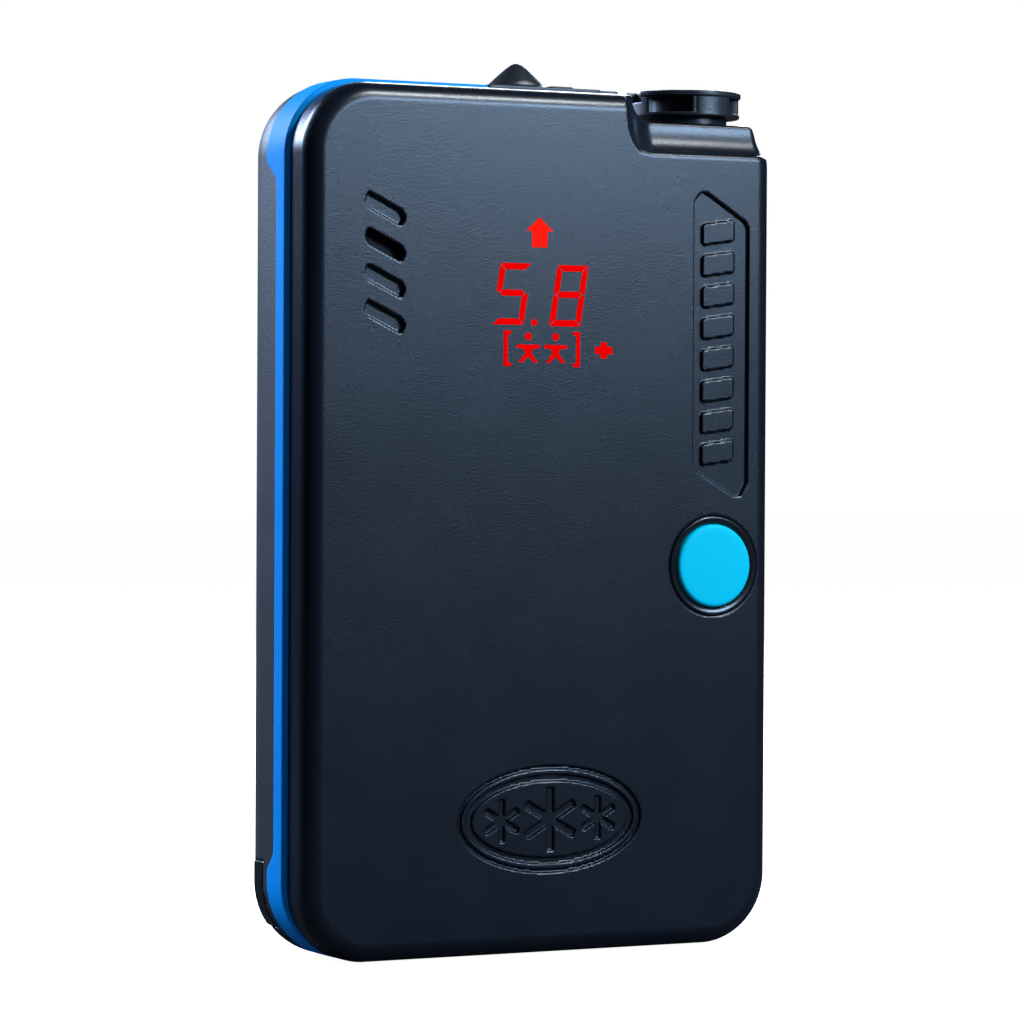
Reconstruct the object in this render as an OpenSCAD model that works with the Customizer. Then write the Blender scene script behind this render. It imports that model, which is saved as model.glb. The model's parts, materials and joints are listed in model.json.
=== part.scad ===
// Avalanche transceiver: a pocket-size radio beacon with a rotary power dial and its lock slider
// on top, a push button and a lit display on the front, and a battery bay behind a hinged door.
// X is to the right, Y runs from the front face to the back, and Z is up from the bottom.

/* [Case] */
// width across the bumper band
case_w = 73; // [70:0.5:78]
// height from the bottom to the top of the bumper band
case_h = 118; // [116:0.5:124]
// depth from the front face to the back of the battery housing
case_d = 27.4; // [27:0.2:30]
// corner radius of the bumper band, seen from the front
corner_r = 10.5; // [9:0.5:12]
// depth of the front cover's side wall, from the front face to the bumper band
cover_d = 5.75; // [5:0.25:6]
// width of the bumper band from front to back
band_d = 2.95; // [2.5:0.05:3.5]
// how far the bumper band stands proud of the front cover
band_proud = 0.75; // [0.4:0.05:1]
// thickness of the bumper band
band_t = 1.6; // [1.2:0.1:2]
// depth of the main case behind the front face
body_d = 21.3; // [21:0.1:22]
// rounding along the edge of the front face
front_fillet = 2.6; // [1.5:0.1:3]
// rounding along the back edge of the case
rear_fillet = 8; // [5:0.5:9]
// thickness of the front wall
front_wall = 1.8; // [1.5:0.1:2.2]

/* [Battery housing] */
// width of the housing on the back
hump_w = 46; // [44:1:50]
// height of the housing on the back
hump_h = 72; // [71:0.5:75]
// diameter of one cell
cell_dia = 10.5; // [10:0.1:10.5]
// length of one cell
cell_len = 44.5; // [44:0.1:44.5]
// distance between the cells' centre lines
cell_pitch = 11; // [10.8:0.1:11.2]
// width of the battery door
door_w = 37.2; // [36:0.2:37.6]
// thickness of the battery door
door_t = 2; // [1.8:0.1:2.2]

/* [Power dial] */
// distance of the dial's axis to the right of the middle
dial_x = 27.2; // [26:0.1:27.4]
// depth of the dial's axis behind the front face
dial_d = 11; // [10.8:0.1:11.4]
// radius of the dial's top disc
dial_r = 8.15; // [7.5:0.05:8.4]
// height of the dial's top face
dial_top = 118.5; // [118:0.1:119]
// height of the flat shelf below the dial
shelf_z = 113.7; // [113:0.1:114]
// width of the dial's finger bar
grip_w = 6.2; // [5:0.2:8]

/* [Lock slider] */
// place of the thumb fin's tip along X
fin_x = 1.24; // [-1:0.02:2]
// height of the thumb fin's tip
fin_top = 121.65; // [120:0.05:123]
// travel of the slider towards the dial
slider_travel = 3.8; // [3:0.1:4]

/* [Search button] */
// distance of the button to the right of the middle
button_x = 26.3; // [24:0.1:26.5]
// height of the button's centre above the bottom
button_z = 52.5; // [48:0.5:58]
// radius of the button
button_r = 5.74; // [5:0.02:6]
// travel of the button
button_travel = 0.9; // [0.5:0.1:0.9]

/* [Hidden] */
$fn = 48;
e = 0.01;                                // overrun of a cut past a face
button_proud = 0.6;                      // how far the button stands out of the front
mid_y = (case_d - button_proud) / 2;     // depth of the middle, button included
cover_w = case_w - 2 * band_proud;
cover_h = case_h - band_proud;
cover_r = corner_r - 0.8;
rear_w = case_w - 0.6;                   // rear case, a little inside the band
rear_h = case_h - 0.3;
seam_d = cover_d + 1.45;                 // depth of the joint between cover and rear case
band_back = cover_d + band_d;
seat_w = case_w - 2 * band_t - 0.2;      // outline that carries the bumper band
seat_z0 = band_t + 0.1;
seat_z1 = case_h - band_t - 0.1;
seat_r = corner_r - band_t - 0.1;
band_end_x = -6;                         // where the band stops on top
band_end_z = 107;                        // where the band stops on the right
pad_top_z = 105.5;                       // lower end of the wide pad at the top corner
pad_bot_z = 13.5;                        // upper end of the wide pads at the bottom corners
pad_top_d = 11.8;
pad_bot_d = 10.8;
board_d = 7.5;                           // front face of the main board
board_t = 1.2;
notch_x = 14.5;                          // left wall of the dial's corner cut-out
notch_flare = 2.4;                       // depth over which the cut-out flares open
flare_z = 109.3;                         // lowest edge of the flare
cell_d = 19.9;                           // depth of the cells' centre lines
cell_z0 = 14.2;                          // lower end of the cells
bay_w = 34.4;
bay_z0 = 11;
bay_z1 = 61.5;
bay_d0 = 14.2;
door_d = case_d - door_t;                // inner face of the door
hinge_d = case_d - 1.4;                  // door hinge axis
hinge_z = 67.4;
hinge_r = 1.3;
pin_r = 0.6;
door_z0 = 4.2;
lock_z = 7.4;                            // height of the door's screw
lug_x = -15.5;                           // lanyard lug
lug_z = 106;
lug_d = case_d - 3.2;
screw_at = [[-28.5, 14], [28.5, 14], [-28.5, 104], [28.5, 91]];
bezel_r = 6.9;
shaft_r = 2.2;
bush_r = 2.95;                           // outside of the dial's bush, clear of the case seal
slider_z = rear_h + 0.05;                // underside of the slider's plate
slider_top = 118.3;
slider_x0 = -5;
slider_x1 = 16.2;
slot_pitch = 4.78;
buzzer_x = -24.3;
buzzer_z = 94.6;
digit_w = 4.8;
digit_h = 8.3;
bar_t = 0.8;                             // thickness of a lit bar
digit_lean = 8.7;                        // lean of the digits in degrees

dark = "#2b3340";
black = "#15181d";
blue = "#0a92e6";

// ---- helpers ----

// puts a shape built on the front face (depth = Y) into the row's frame
module place() translate([0, -mid_y, 0]) children();

// extrudes an outline drawn in X and Z from depth d0 to depth d1
module slab(d0, d1) translate([0, d1, 0]) rotate([90, 0, 0]) linear_extrude(d1 - d0) children();

// turned profile (radius, depth) about an axis that runs from front to back
module turned(x, z, fn = 64) translate([x, 0, z]) rotate([-90, 0, 0]) rotate_extrude($fn = fn)
    children();

// round bar from front to back
module rod_y(x, z, d0, d1, r) translate([x, d0, z]) rotate([-90, 0, 0])
    cylinder(h = d1 - d0, r = r, $fn = 64);

// round bar along X
module rod_x(x0, x1, d, z, r) translate([x0, d, z]) rotate([0, 90, 0])
    cylinder(h = x1 - x0, r = r, $fn = 64);

module rod_z(x, d, z0, z1, r) translate([x, d, z0]) cylinder(h = z1 - z0, r = r, $fn = 64);

module block(x0, x1, d0, d1, z0, z1) translate([x0, d0, z0]) cube([x1 - x0, d1 - d0, z1 - z0]);

// rounded rectangle in X and Z
module plate_outline(w, z0, z1, r) translate([0, (z0 + z1) / 2]) offset(r)
    square([w - 2 * r, z1 - z0 - 2 * r], center = true);

// quarter-round points for a fillet of radius f
function arc(cx, cy, f, a0, a1, n = 6) =
    f <= 0 ? [[cx, cy]] : [for (i = [0:n]) let(a = a0 + (a1 - a0) * i / n)
        [cx + f * cos(a), cy + f * sin(a)]];

// rounded block from depth d0 to d1 with a front and a back fillet
module pebble(w, z0, z1, d0, d1, r, f0, f1) hull()
    for (x = [-w / 2 + r, w / 2 - r], z = [z0 + r, z1 - r])
        translate([x, 0, z]) rotate([-90, 0, 0]) rotate_extrude($fn = 40)
            polygon(concat([[0, d0]], arc(r - f0, d0 + f0, f0, -90, 0),
                arc(r - f1, d1 - f1, f1, 0, 90), [[0, d1]]));

// corner cut-out around the dial, flared open to the front and to the right
module dial_notch() {
    block(notch_x, case_w, -1, case_d, shelf_z, case_h + 9);
    hull() {
        block(notch_x - 2, case_w, -0.02, -0.01, flare_z + 4, case_h + 9);
        block(notch_x + 2, case_w, -0.02, -0.01, flare_z, case_h + 9);
        block(notch_x, case_w, notch_flare, notch_flare + e, shelf_z, case_h + 9);
    }
    hull() {
        block(case_w / 2, case_w / 2 + 1, -1, case_d, flare_z, case_h);
        block(case_w / 2 - 2.5, case_w / 2 + 1, -1, case_d, shelf_z, case_h);
    }
}

// space kept solid below and beside the cut-out
module notch_wall() block(11.9, case_w, -1, case_d, 107.5, case_h);

// ring that carries the bumper band, seen from the front
module band_ring(d1) difference() {
    slab(cover_d, d1) plate_outline(case_w, 0, case_h, corner_r);
    slab(cover_d - 1, d1 + 1) plate_outline(seat_w + 0.2, seat_z0 - 0.1, seat_z1 + 0.1,
        seat_r + 0.1);
}

// side view of the band: narrow along the sides, wide at its corner pads
module band_side(x0, x1, top_z, top_d) translate([x0, 0, 0]) rotate([90, 0, 90])
    linear_extrude(x1 - x0) polygon([[cover_d - 1, -1], [cover_d - 1, case_h + 1],
        [top_d, case_h + 1], [top_d, top_z + 1], [band_back, top_z - 1],
        [band_back, pad_bot_z + 1], [pad_bot_d, pad_bot_z - 1], [pad_bot_d, -1]]);

module band_space() {
    band_side(-case_w, band_end_x, pad_top_z, pad_top_d);
    intersection() {
        band_side(band_end_x - e, case_w, pad_top_z, band_back);
        block(band_end_x - e, case_w, 0, case_d, -1, band_end_z);
    }
}

function lean(p) = [p[0] + p[1] * tan(digit_lean), p[1]];

// lit bars of a seven-bar digit, in the order a to g
function bars(w, h, t, g) = let(m = h / 2, s = t / 2) [
    [[g, h], [w - g, h], [w - t - g, h - t], [t + g, h - t]],
    [[w, h - g], [w, m + g], [w - s, m + g], [w - t, m + s + g], [w - t, h - t - g]],
    [[w, g], [w, m - g], [w - s, m - g], [w - t, m - s - g], [w - t, t + g]],
    [[g, 0], [w - g, 0], [w - t - g, t], [t + g, t]],
    [[0, g], [0, m - g], [s, m - g], [t, m - s - g], [t, t + g]],
    [[0, h - g], [0, m + g], [s, m + g], [t, m + s + g], [t, h - t - g]],
    [[s + g, m], [t + g, m + s], [w - t - g, m + s], [w - s - g, m], [w - t - g, m - s],
        [t + g, m - s]]];

module digit_outline(lit) for (i = lit)
    polygon([for (p = bars(digit_w, digit_h, bar_t, 0.08)[i]) lean(p)]);

module digits_outline() {
    translate([-8.4, 85.3]) digit_outline([0, 2, 3, 5, 6]);
    translate([0.25, 85.2]) digit_outline([0, 1, 2, 3, 4, 5, 6]);
    translate([-1.97, 85.65]) circle(0.45, $fn = 24);
}

module arrow_outline() translate([-1.17, 95.8])
    polygon([[-1.2, 0], [1.2, 0], [1.2, 2.2], [2.05, 2.2], [0, 4.1], [-2.05, 2.2],
        [-1.2, 2.2]]);

module bracket_outline() polygon([[0, 0], [1.1, 0], [1.1, 0.5], [0.55, 0.5], [0.55, 4.3],
    [1.1, 4.3], [1.1, 4.8], [0, 4.8]]);

module person_outline() {
    polygon([[-1.75, 1.3], [1.75, 1.3], [1.75, 0.85], [0.6, 0.75], [0.5, 0], [1.5, -1.15],
        [0.95, -1.15], [0, -0.25], [-0.95, -1.15], [-1.5, -1.15], [-0.5, 0], [-0.6, 0.75],
        [-1.75, 0.85]]);
    translate([0, 2.4]) circle(0.5, $fn = 24);
}

module icons_outline() {
    translate([-6.6, 79.7]) bracket_outline();
    translate([5.1, 79.7]) mirror([1, 0]) bracket_outline();
    translate([-2.87, 81.35]) person_outline();
    translate([1.33, 81.35]) person_outline();
    translate([8.79, 82.03]) difference() {
        square([2.7, 2.2], center = true);
        for (x = [-1, 1], z = [-1, 1]) translate([1.35 * x, 1.1 * z])
            square([1.7, 1.3], center = true);
    }
}

// slanted sound slot with straight ends
module slot_outline() polygon([[-3.05, 1.6], [-2.5, 2.1], [2.4, -0.35], [2.95, -1.3],
    [2.1, -2.5], [-2.75, -0.2], [-3.05, 0.4]]);

// long recess with slanted ends beside the right edge
module inlay_outline() polygon([[24.1, 104.2], [25, 104], [31.2, 100.4], [31.75, 99.6],
    [31.75, 64], [30.6, 62.2], [29.8, 62.1], [23.7, 65.5], [23.05, 66.6], [23.05, 102.8]]);

// oval ring groove of the emblem field
module oval(rx, rz) translate([0.9, 18.3]) polygon([for (i = [0:59])
    [rx * cos(6 * i), rz * sin(6 * i)]]);

module emblem_outline() {
    difference() {
        oval(14.1, 7.3);
        oval(13, 6.3);
    }
    for (a = [0, 60, 120]) translate([0.9, 18.3]) rotate(a) square([10, 0.9], center = true);
}

// ---- case ----

module front_cover() color(dark) place() difference() {
    union() {
        difference() {
            union() {
                pebble(cover_w, 0, cover_h, 0, cover_d, cover_r, front_fillet, 0);
                slab(cover_d - 1, seam_d) plate_outline(seat_w, seat_z0, seat_z1, seat_r);
                intersection() {
                    slab(cover_d - 1, seam_d) plate_outline(cover_w, 0, cover_h, cover_r);
                    block(band_end_x + 0.2, case_w, 0, seam_d, band_end_z + 0.2, case_h);
                }
            }
            difference() {
                pebble(66.4, 2.55, cover_h - 2.55, front_wall, seam_d + 1, cover_r - 2.55, 1, 0);
                notch_wall();
            }
            dial_notch();
        }
        for (p = screw_at) rod_y(p[0], p[1], front_wall - e, 12, 2.6);
    }
    for (p = screw_at) rod_y(p[0], p[1], 3.8, 13, 1.12);
    for (i = [0:3]) translate([buzzer_x, 0, 101.0 - slot_pitch * i])
        slab(-1, i == 1 ? 3 : 0.9) slot_outline();
    slab(-1, 0.45) inlay_outline();
    slab(-1, 0.35) emblem_outline();
    slab(-1, 3) digits_outline();
    slab(-1, 3) arrow_outline();
    slab(-1, 3) icons_outline();
    rod_y(button_x, button_z, -1, 4, bezel_r + 0.02);
    rod_y(button_x, button_z, front_wall, 3.4, 7.9);
}

module rear_case() color("#3b4452") place() difference() {
    union() {
        difference() {
            union() {
                pebble(rear_w, 0, rear_h, band_back, body_d, corner_r - 0.3, 0, rear_fillet);
                slab(seam_d, band_back + 1) plate_outline(seat_w, seat_z0, seat_z1, seat_r);
                intersection() {
                    slab(seam_d, band_back + 1) plate_outline(rear_w, 0, rear_h,
                        corner_r - 0.3);
                    block(band_end_x + 0.2, case_w, 0, case_d, band_end_z + 0.2, case_h);
                }
                pebble(hump_w, 0, hump_h, 15, case_d, 6, 0, 4);
            }
            difference() {
                pebble(64.8, 3.2, 114, seam_d - 3, 19.3, 7, 0, 5);
                notch_wall();
            }
            dial_notch();
        }
        difference() {
            block(-18.8, 18.8, 12.6, 24, 2, 63.1);
            block(-30, 30, 10, 17.8, -1, 9.4);
        }
        for (p = screw_at) rod_y(p[0], p[1], 12.2, 20.5, 3.6);
        rod_x(lug_x - 2.5, lug_x + 2.5, lug_d, lug_z, 3.1);
        block(lug_x - 2.5, lug_x + 2.5, 19.5, lug_d, lug_z - 2.6, lug_z + 2.6);
        block(-6.2, -3.6, 10, 13, 109.6, 115);
    }
    // seats for the band's pads and the feet
    intersection() {
        difference() {
            slab(cover_d, pad_top_d + 0.1) plate_outline(case_w + 2, -1, case_h + 1, corner_r);
            slab(cover_d - 1, case_d) plate_outline(seat_w, seat_z0, seat_z1, seat_r);
        }
        translate([0, 0.1, 0]) band_space();
    }
    feet_space(0.02);
    // battery bay, door rebate and hinge pocket
    block(-bay_w / 2, bay_w / 2, bay_d0, case_d, bay_z0, bay_z1);
    block(-door_w / 2 - 0.3, door_w / 2 + 0.3, door_d - 0.4, case_d + 1, door_z0 - 0.3, 67);
    difference() {
        rod_x(-door_w / 2 - 0.3, door_w / 2 + 0.3, hinge_d, hinge_z, 2.4);
        for (s = [-1, 1]) {
            rod_x(s * 16.65 - 2.25, s * 16.65 + 2.25, hinge_d, hinge_z, hinge_r);
            block(s * 16.65 - 2.25, s * 16.65 + 2.25, 22, hinge_d, hinge_z - 1, hinge_z + 1);
        }
    }
    rod_x(-18.6, 18.6, hinge_d, hinge_z, pin_r + 0.01);
    rod_y(0, lock_z, 20.5, case_d, 1.9);
    rod_y(0, lock_z, 24, case_d, 2.3);
    // screws, dial, slider and lanyard
    for (p = screw_at) {
        rod_y(p[0], p[1], 11, body_d, 1.3);
        rod_y(p[0], p[1], 17.3, case_d, 2.5);
    }
    rod_z(dial_x, dial_d, 100, shelf_z + 1, bush_r);
    block(0.8, 4.2 + slider_travel, 10.05, 12.95, 112, case_h + 1);
    rod_x(lug_x - 4, lug_x + 4, lug_d, lug_z, 2.5);
    // grooves for the case seal and the label
    slab(seam_d - 1, seam_d + 0.8) seal_outline();
    block(-1, 24, body_d - 0.15, case_d, 78, 98);
    block(-6.3, -3.5, 10.4, 12.6, 110.4, 110.72);
}

module seal_outline() difference() {
    difference() {
        plate_outline(68.4, 2.3, 115.7, 8.2);
        translate([13.4, 109]) square(60);
    }
    difference() {
        plate_outline(67, 3, 115, 7.5);
        translate([12.7, 108.3]) square(60);
    }
}

module case_seal() color("#404040") place() slab(seam_d, seam_d + 0.78) seal_outline();

module bumper() color(blue) place() intersection() {
    band_ring(13);
    band_space();
}

module feet_space(g) intersection() {
    difference() {
        slab(12.5 - g, 15.6 + g) plate_outline(rear_w, 0, rear_h, corner_r - 0.3);
        slab(12, 17) plate_outline(rear_w - 2.4, 1.2, rear_h - 1.2, corner_r - 1.5);
    }
    union() for (s = [-1, 1])
        block(s * 33 - 4, s * 33 + 4, 12, 17, 4 - g, 13 + g);
}

module corner_feet() color(black) place() feet_space(0);

module case_screws() color("#9aa0a6") place() for (p = screw_at) difference() {
    union() {
        rod_y(p[0], p[1], 4.2, 17.4, 1.1);
        rod_y(p[0], p[1], 17.3, 19, 2.3);
    }
    rod_y(p[0], p[1], 18, 20, 0.9);
}

module lanyard_bush() color("#b8bcc0") place() difference() {
    rod_x(lug_x - 2.5, lug_x + 2.5, lug_d, lug_z, 2.5);
    rod_x(lug_x - 3, lug_x + 3, lug_d, lug_z, 2);
}

module rear_label() color("#c8ccd0") place() block(-0.9, 23.9, body_d - 0.15, body_d, 78.1, 97.9);

// ---- search button ----

module button_bezel() color(black) place() turned(button_x, button_z)
    polygon([[5.84, 0.3], [6.1, -0.1], [6.6, -0.15], [bezel_r, 0.1], [bezel_r, 2.2],
        [7.8, 2.2], [7.8, 2.7], [5.84, 2.7]]);

module bezel_gasket() color("#303030") place() turned(button_x, button_z)
    polygon([[6.95, front_wall], [7.8, front_wall], [7.8, 2.2], [6.95, 2.2]]);

module search_button() color(blue) place() turned(button_x, button_z)
    polygon([[0, -button_proud], [4.9, -0.5], [5.5, -0.3], [button_r, 0], [button_r, 2.9], [6.6, 2.9],
        [6.6, 3.6], [1.2, 3.6], [1.2, 5], [0, 5]]);

module switch_plunger() color("#d8d8d0") place() rod_y(button_x, button_z, 5, 6.3, 1.7);

module tact_switch() color("#50555c") place() difference() {
    block(button_x - 3, button_x + 3, 6.1, board_d, button_z - 3, button_z + 3);
    rod_y(button_x, button_z, 5, 7.3, 1.75);
}

// ---- power dial ----

module power_dial() color(dark) place() difference() {
    union() {
        translate([dial_x, dial_d, 0]) rotate_extrude($fn = 96)
            polygon([[0, dial_top - 0.65], [dial_r, dial_top - 0.65], [dial_r, dial_top - 0.2],
                [dial_r - 0.2, dial_top], [0, dial_top]]);
        intersection() {
            rod_z(dial_x, dial_d, 115, dial_top - 0.5, dial_r - 0.25);
            block(dial_x + 0.4 - grip_w / 2, dial_x + 0.4 + grip_w / 2, dial_d - 7.6,
                dial_d + 7.6, 114, dial_top);
        }
        rod_z(dial_x, dial_d, 115, 115.6, dial_r - 0.25);
        // core with a finger scoop at each corner of the bar
        difference() {
            rod_z(dial_x, dial_d, 115, dial_top - 0.5, 7.7);
            for (i = [-1, 1], j = [-1, 1])
                rod_z(dial_x + 0.4 + i * 6.6, dial_d + j * 7.6, 115.5, dial_top, 3.2);
        }
        rod_z(dial_x, dial_d, shelf_z + 0.2, 115, 6.2);
    }
    rod_z(dial_x, dial_d, shelf_z, 116.6, shaft_r);
    // notches that the slider's tongue enters at both ends of the dial's turn
    for (a = [0, -90]) translate([dial_x, dial_d, 0]) rotate(a)
        block(-dial_r - 1, -dial_r + 1.6, -1.8, 1.8, dial_top - 1.5, dial_top + 1);
}

module dial_shaft() color("#b0b4b8") place() {
    rod_z(dial_x, dial_d, 106.5, 116.6, shaft_r);
    rod_z(dial_x, dial_d, 100.2, 106.6, 1.2);
}

module dial_bush() color("#c9b458") place() difference() {
    rod_z(dial_x, dial_d, 107.6, 112.5, bush_r);
    rod_z(dial_x, dial_d, 107, 113, shaft_r + 0.05);
}

module dial_seal() color("#303030") place() difference() {
    rod_z(dial_x, dial_d, 112.6, 113.6, bush_r);
    rod_z(dial_x, dial_d, 112, 114, shaft_r + 0.05);
}

module dial_clip() color("#8f959b") place() difference() {
    rod_z(dial_x, dial_d, 106.9, 107.4, 3.2);
    rod_z(dial_x, dial_d, 106, 108, shaft_r);
}

module rotary_switch() color("#4a5058") place() difference() {
    block(dial_x - 5, dial_x + 4.8, 7.4, 15.2, 98.8, 106.3);
    rod_z(dial_x, dial_d, 99.8, 107, 1.25);
}

// ---- lock slider ----

module lock_slider() color(dark) place() {
    block(slider_x0, slider_x1 - 3.4, 8.2, 15, slider_z, slider_top);
    block(slider_x1 - 3.5, slider_x1, 9.5, 12.5, slider_z, slider_top);
    block(5.2, 8.6, 8.6, 14.6, slider_top - e, slider_top + 0.2);
    hull() {
        block(-3, 5.9, 8.6, 14.6, slider_top - e, slider_top + 0.2);
        block(fin_x - 0.9, fin_x + 0.9, 10.6, 12.6, fin_top - 0.5, fin_top - 0.3);
        block(fin_x - 0.3, fin_x + 0.3, 11.1, 12.1, fin_top - 0.1, fin_top);
    }
    block(1, 4, 10.2, 12.8, 113.8, slider_z + e);
}

module slider_shoe() color("#d0d0c8") place() block(-1, 6, 8.9, 14.1, 112.5, 113.8);

module detent_spring() color("#b8bcc0") place() translate([0, 12.5, 0]) rotate([90, 0, 0])
    linear_extrude(2) polygon([[-6.2, 110.45], [1.6, 110.45], [2.6, 111.9], [3.4, 111.9],
        [4.4, 110.45], [8, 110.45], [8, 110.7], [4.6, 110.7], [3.55, 112.2], [2.45, 112.2],
        [1.4, 110.7], [-6.2, 110.7]]);

// ---- battery door ----

module battery_door() color("#343c49") place() difference() {
    union() {
        block(-door_w / 2, door_w / 2, door_d, case_d, door_z0, 65.4);
        block(-14.1, 14.1, door_d, case_d, 65.3, hinge_z);
        rod_x(-14.1, 14.1, hinge_d, hinge_z, hinge_r);
    }
    rod_x(-15, 15, hinge_d, hinge_z, pin_r + 0.06);
    rod_y(0, lock_z, door_d - 1, case_d + 1, 1.08);
    rod_y(0, lock_z, case_d - 1.2, case_d + 1, 2.7);
    for (z = [16:5:56]) block(-12, 12, case_d - 0.5, case_d + 1, z, z + 1.4);
}

module door_gasket() color("#303030") place() slab(door_d - 0.4, door_d - 0.1) difference() {
    translate([0, 36.3]) square([37, 53.2], center = true);
    translate([0, 36.3]) square([35, 51], center = true);
}

module door_screw() color("#c0c4c8") place() difference() {
    union() {
        rod_y(0, lock_z, case_d - 1.15, case_d - 0.1, 2.4);
        rod_y(0, lock_z, 21.8, case_d - 1, 1);
    }
    block(-3, 3, case_d - 0.8, case_d + 1, lock_z - 0.4, lock_z + 0.4);
}

module screw_retainer() color("#9aa0a6") place() difference() {
    rod_y(0, lock_z, 24.5, 25.2, 1.7);
    rod_y(0, lock_z, 24, 26, 1);
}

module door_insert() color("#c9a84a") place() difference() {
    rod_y(0, lock_z, 20.5, 24, 1.9);
    rod_y(0, lock_z, 20, 25, 1.35);
}

module door_hinge_pin() color("#b8bcc0") place() rod_x(-18.4, 18.4, hinge_d, hinge_z, pin_r);

// ---- display ----

module display_digits() color("#e60000") place() slab(0, front_wall) digits_outline();

module display_arrow() color("#ff2a14") place() slab(0, front_wall) arrow_outline();

module display_icons() color("#e60000") place() slab(0, front_wall) icons_outline();

module display_module() color("#202020") place() block(-10, 11, 1.9, 5, 77, 102);

// ---- electronics ----

module main_board() color("#1f6b3a") place() difference() {
    slab(board_d, board_d + board_t) difference() {
        plate_outline(62, 6, 111, 5);
        translate([11.2, 97.5]) square(60);
    }
    for (p = screw_at) rod_y(p[0], p[1], 5, 12, 2.9);
}

module processor_chip() color("#18191b") place() block(-8, 2, 6.3, board_d, 40, 50);

module radio_shield() color("#b9bdc2") place() block(-22, -2, 5.2, board_d, 58, 72);

module capacitors() color("#c08a3a") place() for (i = [0:4])
    block(6 + 3 * i, 8 + 3 * i, 6.5, board_d, 30, 31.4);

module buzzer() color("#26282b") place() difference() {
    rod_y(buzzer_x, buzzer_z, 2.5, 5.8, 7);
    rod_y(buzzer_x, buzzer_z, 2, 3.4, 1.2);
}

module buzzer_membrane() color("#26282b") place()
    rod_y(buzzer_x, buzzer_z, front_wall + 0.02, 2.3, 7.2);

module long_ferrite() color("#2a2a2c") place() rod_z(-26, 13.6, 25, 95, 3.6);

module long_coil() color("#b06a2c") place() difference() {
    rod_z(-26, 13.6, 40, 80, 4.5);
    rod_z(-26, 13.6, 39, 81, 3.6);
}

module cross_ferrite() color("#2a2a2c") place() rod_x(-18, 24, 13.6, 82, 3.6);

module cross_coil() color("#b06a2c") place() difference() {
    rod_x(-8, 14, 13.6, 82, 4.5);
    rod_x(-9, 15, 13.6, 82, 3.6);
}

module short_ferrite() color("#2a2a2c") place() rod_y(0, 71, 9.4, 17.4, 3.4);

module short_coil() color("#b06a2c") place() difference() {
    rod_y(0, 71, 10.2, 16.6, 5.4);
    rod_y(0, 71, 10, 17, 3.4);
}

module antenna_holders() color("#50555c") place() difference() {
    union() {
        for (z = [30, 86]) block(-29.5, -22.5, 13.8, 18.3, z, z + 4);
        for (x = [-14, 18]) block(x, x + 3, 13.8, 19.3, 78, 86);
    }
    rod_z(-26, 13.6, 20, 98, 3.62);
    rod_x(-20, 26, 13.6, 82, 3.62);
}

// ---- batteries ----

module cell(i) {
    rod_z(cell_pitch * i, cell_d, cell_z0, cell_z0 + cell_len - 0.8, cell_dia / 2);
    rod_z(cell_pitch * i, cell_d, cell_z0, cell_z0 + cell_len, 1.9);
}

module battery_left() color("#8b9097") place() cell(-1);

module battery_middle() color("#8b9097") place() cell(0);

module battery_right() color("#8b9097") place() cell(1);

module contact_leaves() color("#c0c4c8") place() for (i = [-1:1])
    translate([cell_pitch * i - 3, 0, 0]) rotate([90, 0, 90]) linear_extrude(6)
        polygon([[15.2, bay_z0], [24, bay_z0], [24, bay_z0 + 0.3], [19, 14], [15.2, 12]]);

module contact_plates() color("#c0c4c8") place() for (i = [-1:1])
    block(cell_pitch * i - 4, cell_pitch * i + 4, 15.4, 24, bay_z1 - 0.4, bay_z1);

front_cover();
rear_case();
bumper();
button_bezel();
bezel_gasket();
search_button();
switch_plunger();
tact_switch();
power_dial();
dial_shaft();
dial_bush();
dial_seal();
dial_clip();
rotary_switch();
lock_slider();
slider_shoe();
detent_spring();
battery_door();
door_gasket();
door_screw();
screw_retainer();
door_insert();
door_hinge_pin();
lanyard_bush();
corner_feet();
rear_label();
display_digits();
display_arrow();
display_icons();
display_module();
main_board();
processor_chip();
radio_shield();
capacitors();
buzzer();
buzzer_membrane();
long_ferrite();
long_coil();
cross_ferrite();
cross_coil();
short_ferrite();
short_coil();
antenna_holders();
battery_left();
battery_middle();
battery_right();
contact_leaves();
contact_plates();
case_screws();
case_seal();
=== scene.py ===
# Avalanche transceiver: detailed shells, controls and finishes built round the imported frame.
# Lengths are in millimetres and depths are measured back from the front face, until a mesh is made.

import json
import math

import bmesh
import bpy
import numpy as np
from mathutils import Matrix, Vector


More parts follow.
